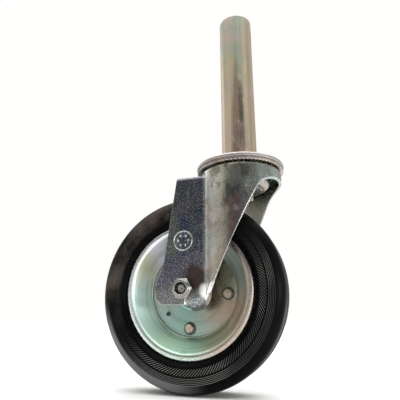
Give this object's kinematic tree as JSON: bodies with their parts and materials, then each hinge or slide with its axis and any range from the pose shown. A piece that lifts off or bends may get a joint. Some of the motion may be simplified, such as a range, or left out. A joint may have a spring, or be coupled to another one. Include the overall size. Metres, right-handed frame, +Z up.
{
  "type": "swivel castor with tube stem",
  "caption": "Swivel castor for the foot of a gate leg: ribbed rubber wheel on riveted pressed discs in a pressed steel fork, ball-race swivel head and plain round tube stem.",
  "frame": {"origin": "on the swivel axis at the top plate's upper face, where the stem starts", "axes": "+Z up the stem along the swivel axis, +X horizontally away from the axle, the axle runs along Y with its nut on the -Y side"},
  "size_m": [0.204, 0.098, 0.436],
  "materials": {
    "stem_steel": "zinc plated and passivated tube, lightly weathered",
    "plate_steel": "zinc plated, warm passivate tint, satin",
    "race_steel": "zinc plated, hardened ball race, satin",
    "fork_steel": "zinc plated and passivated pressed sheet, blue to tan tints, scuffed",
    "disc_zinc": "bright zinc with iridescent passivate",
    "fastener_steel": "zinc plated fasteners, slightly dulled",
    "bearing_steel": "polished ball and roller steel",
    "weld_steel": "ground weld bead",
    "cage_nylon": "black nylon",
    "tyre_rubber": "black ribbed rubber with a dusty bloom"
  },
  "bodies": {
    "stem_head": {"stem_tube": "stem_steel", "stem_weld": "weld_steel", "top_plate": "plate_steel", "upper_race_plate": "race_steel", "king_bolt": "fastener_steel", "king_sleeve": "fastener_steel", "lower_race_cup": "race_steel", "king_washer": "fastener_steel", "lock_washer": "fastener_steel", "king_nut": "fastener_steel"},
    "swivel_fork": {"fork": "fork_steel", "axle_tube": "fastener_steel", "thrust_washers": "fastener_steel", "axle_bolt": "fastener_steel", "bolt_washer": "fastener_steel", "axle_nut": "fastener_steel", "nut_insert": "cage_nylon"},
    "upper_ball_ring": {"upper_balls": "bearing_steel"},
    "lower_ball_ring": {"lower_balls": "bearing_steel"},
    "wheel": {"tyre": "tyre_rubber", "near_rim": "disc_zinc", "far_rim": "disc_zinc", "rim_rivets": "fastener_steel", "hub_tube": "disc_zinc", "bearing_caps": "cage_nylon"},
    "roller_set": {"rollers": "bearing_steel", "roller_cage": "cage_nylon"}
  },
  "joints": [
    {"name": "swivel", "type": "hinge", "parent": "stem_head", "child": "swivel_fork", "pos_m": [0, 0, -0.0091], "axis": [0, 0, 1], "continuous": true},
    {"name": "upper_ball_roll", "type": "hinge", "parent": "stem_head", "child": "upper_ball_ring", "pos_m": [0, 0, -0.0091], "axis": [0, 0, 1], "continuous": true},
    {"name": "lower_ball_roll", "type": "hinge", "parent": "stem_head", "child": "lower_ball_ring", "pos_m": [0, 0, -0.02], "axis": [0, 0, 1], "continuous": true},
    {"name": "wheel_spin", "type": "hinge", "parent": "swivel_fork", "child": "wheel", "pos_m": [-0.055, 0, -0.136], "axis": [0, 1, 0], "continuous": true},
    {"name": "roller_roll", "type": "hinge", "parent": "swivel_fork", "child": "roller_set", "pos_m": [-0.055, 0, -0.136], "axis": [0, 1, 0], "continuous": true}
  ],
  "couplings": [
    {"joint": "upper_ball_roll", "follows": "swivel", "ratio": 0.5},
    {"joint": "lower_ball_roll", "follows": "swivel", "ratio": 0.5},
    {"joint": "roller_roll", "follows": "wheel_spin", "ratio": 0.5745}
  ]
}
